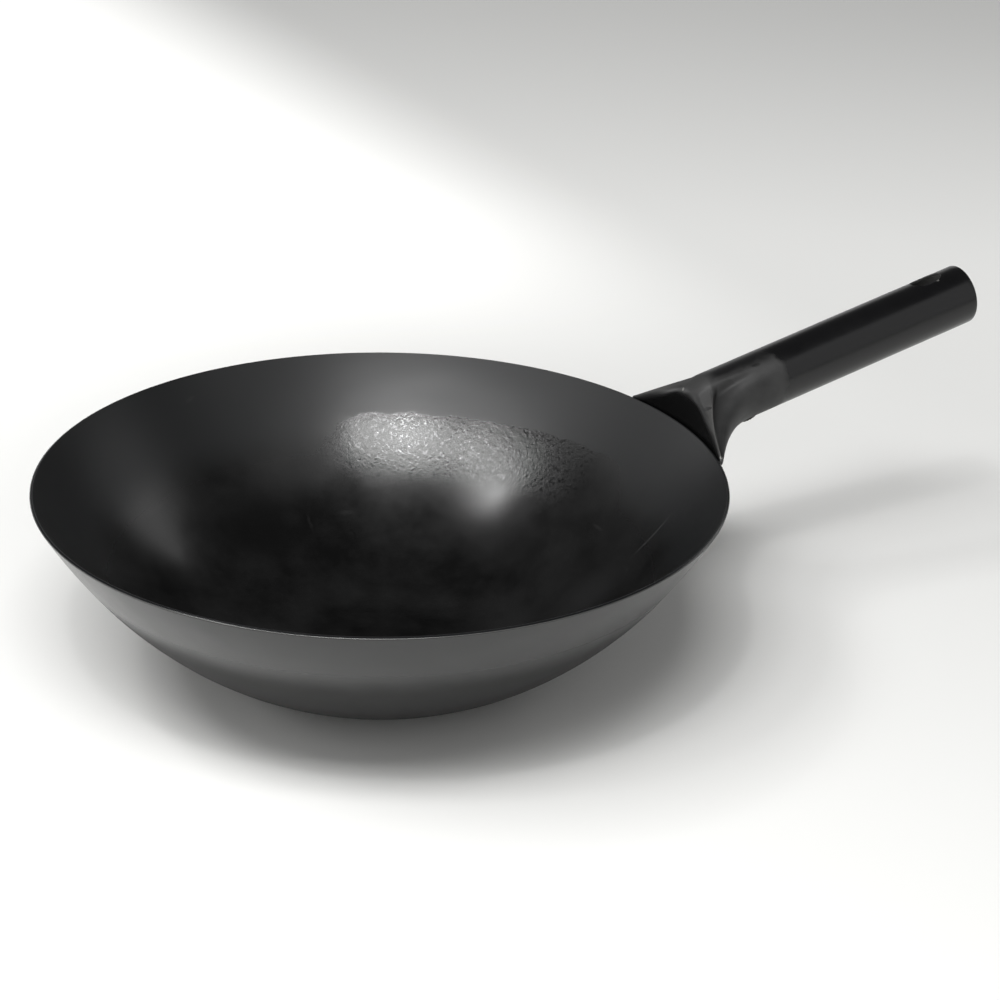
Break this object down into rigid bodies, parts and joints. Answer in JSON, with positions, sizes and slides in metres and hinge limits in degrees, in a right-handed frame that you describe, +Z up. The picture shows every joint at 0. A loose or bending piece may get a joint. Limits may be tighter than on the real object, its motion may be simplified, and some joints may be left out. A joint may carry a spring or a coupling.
{
  "type": "one-handed wok",
  "caption": "Round-walled wok of thin beaten sheet iron with a flattened foot and a hollow rolled steel handle, whose fishtail root is welded under the rim.",
  "frame": {"origin": "centre of the bowl's flattened foot, on the surface that the wok stands on", "axes": "+Z up out of the bowl, +X from the bowl along the handle, +Y to the right hand of someone holding the handle"},
  "size_m": [0.4957, 0.3302, 0.1639],
  "materials": {
    "beaten_iron": "satin",
    "rolled_steel": "satin",
    "weld_metal": "satin"
  },
  "bodies": {
    "root": {"wok_bowl": "beaten_iron", "handle": "rolled_steel", "root_weld_right": "weld_metal", "root_weld_left": "weld_metal", "seam_tack": "weld_metal"}
  },
  "joints": []
}
